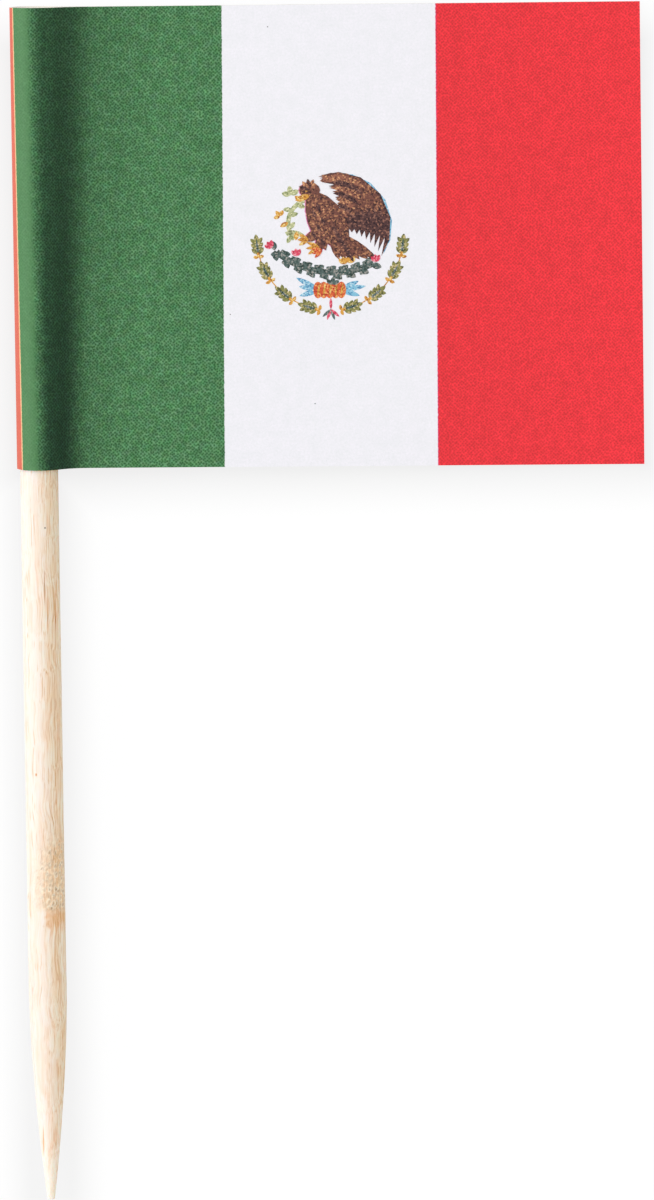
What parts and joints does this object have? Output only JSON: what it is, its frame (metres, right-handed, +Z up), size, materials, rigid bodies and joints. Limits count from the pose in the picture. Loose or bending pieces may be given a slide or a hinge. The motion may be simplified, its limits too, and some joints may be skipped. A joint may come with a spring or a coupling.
{
  "type": "flag toothpick",
  "caption": "Round pointed wooden pick with a paper flag folded round its head end and glued back to back, lying flat.",
  "frame": {"origin": "on the surface the part lies on, below the middle of the whole part", "axes": "+Y along the pick towards its head and the flag, -Y towards the point, +X from the pick across the flag to its fly edge, +Z up out of the flag's front"},
  "size_m": [0.0344, 0.0654, 0.0024],
  "materials": {
    "wood": "bare sanded bamboo, matt, with fine tan fibres and the pits of a stem joint",
    "printed_paper": "coated white paper, offset printed in green and red with a small coloured emblem"
  },
  "bodies": {
    "root": {"toothpick": "wood", "paper_flag": "printed_paper"}
  },
  "joints": []
}
